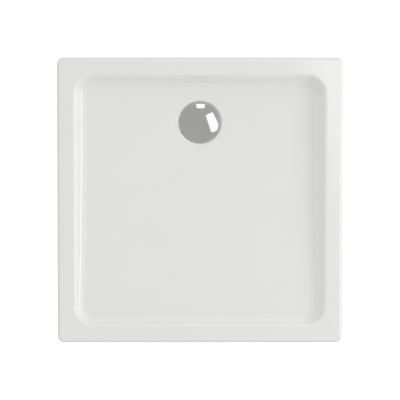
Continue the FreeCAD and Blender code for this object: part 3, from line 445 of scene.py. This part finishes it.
def thread_reach(z, top):
    """The radius of the rolled thread at a height, for every angle."""
    taper = min(1.0, max(0.0, (top - z) / STUD_CHAMFER))

    def reach(angle):
        turn = (z / PITCH - angle / (2 * math.pi)) % 1.0
        crest = 1 - abs(2 * turn - 1)
        depth = THREAD_DEPTH * (1 - min(1.0, THREAD_FLANK * crest))
        return min(STUD_RADIUS - depth, STUD_RADIUS - THREAD_DEPTH * (1 - taper))

    return reach


def threaded_stud(name, body, replaced):
    low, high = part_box(replaced)
    x = (low.x + high.x) / 2
    y = (low.y + high.y) / 2
    collar_top = COLLAR_LOW + COLLAR_THICK

    def plain(radius):
        return lambda angle: radius

    def hexagon(shrink):
        return lambda angle: hexagon_reach(angle, COLLAR_FLATS) - shrink

    root = STUD_RADIUS - THREAD_DEPTH
    rings = [
        ring_at(x, y, low.z, plain(HEEL_RADIUS - COLLAR_ROUND)),
        ring_at(x, y, low.z + COLLAR_ROUND, plain(HEEL_RADIUS)),
        ring_at(x, y, low.z + HEEL_THICK, plain(HEEL_RADIUS)),
        ring_at(x, y, low.z + HEEL_THICK, plain(STUD_RADIUS)),
        ring_at(x, y, COLLAR_LOW, plain(STUD_RADIUS)),
        ring_at(x, y, COLLAR_LOW, hexagon(COLLAR_ROUND)),
        ring_at(x, y, COLLAR_LOW + COLLAR_ROUND, hexagon(0)),
        ring_at(x, y, collar_top - COLLAR_ROUND, hexagon(0)),
        ring_at(x, y, collar_top, hexagon(COLLAR_ROUND)),
        ring_at(x, y, collar_top, plain(root)),
    ]
    steps = int((high.z - collar_top) / PITCH * THREAD_STEPS)
    for step in range(1, steps + 1):
        z = collar_top + (high.z - collar_top) * step / steps
        rings.append(ring_at(x, y, z, thread_reach(z, high.z)))
    bm = bmesh.new()
    swept_rings(bm, rings)
    return add_piece(name, bm, body, "zinc_plate", replaced, STUD_SHARP)


for corner in ("front_left", "front_right", "rear_left", "rear_right", "centre"):
    threaded_stud("threaded_stud_" + corner, "stud_" + corner, "foot_stud_" + corner)


# ---------------------------------------------------------------- waste cover
COVER_SIDES = 192
COVER_WALL = 1.2 * MM
COVER_RISE = 3.5 * MM
COVER_EDGE_ROUND = 1.6 * MM
COVER_SHARP = 40.0
DOME_STEPS = 24
EDGE_STEPS = 8
ON_AXIS = 1e-7                  # a radius below this is a point on the axis


def dome_profile(radius, top, edge, bottom):
    """From the lower edge up over the turned edge and in to the middle, as (r, z)."""
    spring = radius - edge
    ball = (spring * spring + COVER_RISE * COVER_RISE) / (2 * COVER_RISE)
    slope = math.asin(spring / (ball - edge))
    middle_z = top - ball + (ball - edge) * math.cos(slope)
    points = [(radius, bottom)]
    for step in range(EDGE_STEPS + 1):
        turn = math.pi / 2 + (slope - math.pi / 2) * step / EDGE_STEPS
        points.append((spring + edge * math.sin(turn), middle_z + edge * math.cos(turn)))
    for step in range(1, DOME_STEPS + 1):
        turn = slope * (1 - step / DOME_STEPS)
        points.append((ball * math.sin(turn), top - ball + ball * math.cos(turn)))
    return points


def turned_row(bm, x, y, r, z, sides):
    """A ring of points about the upright axis, or the one point on it."""
    if r < ON_AXIS:
        return [bm.verts.new((x, y, z))]
    turns = (2 * math.pi * step / sides for step in range(sides))
    return [bm.verts.new((x + r * math.cos(turn), y + r * math.sin(turn), z)) for turn in turns]


def turned(profile, x, y, sides):
    """The profile of (r, z) points turned about the upright axis at x, y."""
    bm = bmesh.new()
    rows = [turned_row(bm, x, y, r, z, sides) for r, z in profile]
    for one, two in zip(rows, rows[1:]):
        for step in range(sides):
            after = (step + 1) % sides
            if len(one) == 1:
                bm.faces.new((one[0], two[step], two[after]))
            elif len(two) == 1:
                bm.faces.new((one[step], two[0], one[after]))
            else:
                bm.faces.new((one[step], two[step], two[after], one[after]))
    return bm


def waste_cover():
    """Pressed dome with a turned-down edge, hollow below."""
    low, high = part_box("waste_cover")
    radius = (high.x - low.x) / 2
    outside = dome_profile(radius, high.z, COVER_EDGE_ROUND, low.z)
    inside = dome_profile(radius - COVER_WALL, high.z - COVER_WALL, COVER_EDGE_ROUND / 2, low.z)
    bm = turned(inside[::-1] + outside, (low.x + high.x) / 2, (low.y + high.y) / 2, COVER_SIDES)
    return add_piece("chrome_cover", bm, "cover", "chrome", "waste_cover", COVER_SHARP)


waste_cover()

# ---------------------------------------------------------------- studio
FLOOR_REACH = 120.0
FLOOR_GLOW = 0.84               # what the camera sees of it, on top of the light that falls there
FLOOR_TONE = 0.42
PAINTED_SHADOW_FROM = 0.30               # painted shadow: under the tray, as far out as this, the floor doesn't glow
PAINTED_SHADOW_TO = 0.385                # the painted shadow ends here, and from here on it glows fully


def stage_panel(name, corners, finish):
    """One flat face that isn't part of the tray."""
    mesh = bpy.data.meshes.new(name)
    mesh.from_pydata(corners, [], [tuple(range(len(corners)))])
    mesh.materials.append(finish.material)
    placed(name, mesh)


def pale_floor():
    """White to the camera, as the cut-out photograph is, and dim to what stands on it."""
    f = Finish("pale_floor", Base_Color=rgb(FLOOR_TONE, FLOOR_TONE, FLOOR_TONE), Roughness=1.0,
               Specular_IOR_Level=0.0, Emission_Strength=FLOOR_GLOW)
    x, y, _ = f.split(f.place)
    reach = f.node("Math", {"operation": "MAXIMUM"}, {0: abs(x), 1: abs(y)})
    seen = f.node("LightPath", out="Is Camera Ray")
    # Painted shadow: to the camera, the floor's glow fades to none under the tray, standing in for the
    # tray's cast shadow.
    f.drive(Emission_Color=f.mix(seen * reach.between(PAINTED_SHADOW_FROM, PAINTED_SHADOW_TO), rgb(0, 0, 0), rgb(1, 1, 1)))
    r = FLOOR_REACH
    stage_panel("pale_floor", [(-r, -r, 0), (r, -r, 0), (r, r, 0), (-r, r, 0)], f)


SKY_LEVEL = 0.857
SKY_TINT = rgb(1, 1, 0.995)
SKY_RIGHT = 0.09                # how much brighter the right is than the middle
SKY_BACK = 0.09                 # and the back
SKY_TOP = 0.56                  # what the cover mirrors, straight above
TOP_EDGE = (0.86, 0.93)         # height of direction where the top starts and is full
BACKDROP_WHITE = 1.1            # to the camera alone


def studio_light():
    world = bpy.data.worlds.new("studio")
    bpy.context.scene.world = world
    world.use_nodes = True
    tree = Nodes(world.node_tree)
    x, y, z = tree.split(tree.node("TexCoord", out="Generated"))
    top = z.between(*TOP_EDGE)
    level = SKY_LEVEL + SKY_RIGHT * x + SKY_BACK * y
    light = level * (1 - top) + SKY_TOP * top
    seen = tree.node("LightPath", out="Is Camera Ray")
    backdrop = world.node_tree.nodes["Background"]
    backdrop.inputs["Color"].default_value = SKY_TINT
    tree.feed(backdrop.inputs["Strength"], light * (1 - seen) + BACKDROP_WHITE * seen)


KEY_PLACE = (2.2, 0.15, 1.1)
KEY_SIZE = (1.7, 0.74)          # along the tray's side, and in height
KEY_RADIANCE = 2.7


def soft_key():
    """The large soft box at the right, a little to the back."""
    data = bpy.data.lights.new("soft_key", "AREA")
    data.shape = "RECTANGLE"
    data.size, data.size_y = KEY_SIZE
    data.energy = KEY_RADIANCE * KEY_SIZE[0] * KEY_SIZE[1] * math.pi
    light = placed("soft_key", data)
    light.location = KEY_PLACE
    towards = Vector((0, 0, rim_z)) - Vector(KEY_PLACE)
    light.rotation_euler = towards.to_track_quat("-Z", "Y").to_euler()


# Corners in the photograph of the two soft boxes that the cover mirrors, from (x, y) pixels.
MIRRORED_BOXES = {
    "back_box": ((196.1, 103.7), (205.1, 103.7), (204.3, 108.1), (196.9, 108.1)),
    "right_box": ((205.8, 115.2), (212.5, 112.1), (218.1, 123.8), (218.4, 126.8), (216.5, 131.1),
                  (211.2, 132.0)),
}
BOX_HEIGHT = 30.0
BOX_GLOW = 1.8


def mirrored_by_cover(px, py):
    """Where the camera's ray through this pixel of the cover arrives, at the boxes' height."""
    low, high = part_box("waste_cover")
    radius = (high.x - low.x) / 2 - COVER_EDGE_ROUND
    ball = (radius * radius + COVER_RISE * COVER_RISE) / (2 * COVER_RISE)
    centre = Vector(((low.x + high.x) / 2, (low.y + high.y) / 2, high.z - ball))
    turn = camera.rotation_euler.to_matrix()
    ray = turn @ Vector(((px - PICTURE / 2) * pixel, (PICTURE / 2 - py) * pixel, -CAMERA_DISTANCE))
    ray.normalize()
    gap = camera.location - centre
    along = gap.dot(ray)
    hit = camera.location + ray * (-along - math.sqrt(along * along - gap.length_squared + ball * ball))
    away = ray.reflect((hit - centre).normalized())
    return hit + away * (BOX_HEIGHT - hit.z) / away.z


def overhead_box(name, corners):
    f = Finish(name, Base_Color=rgb(0, 0, 0), Emission_Color=rgb(1, 1, 1), Emission_Strength=BOX_GLOW)
    stage_panel(name, [mirrored_by_cover(*corner) for corner in corners], f)


pale_floor()
studio_light()
soft_key()
for box_name, box_corners in MIRRORED_BOXES.items():
    overhead_box(box_name, box_corners)
bpy.context.scene.view_settings.view_transform = "Standard"
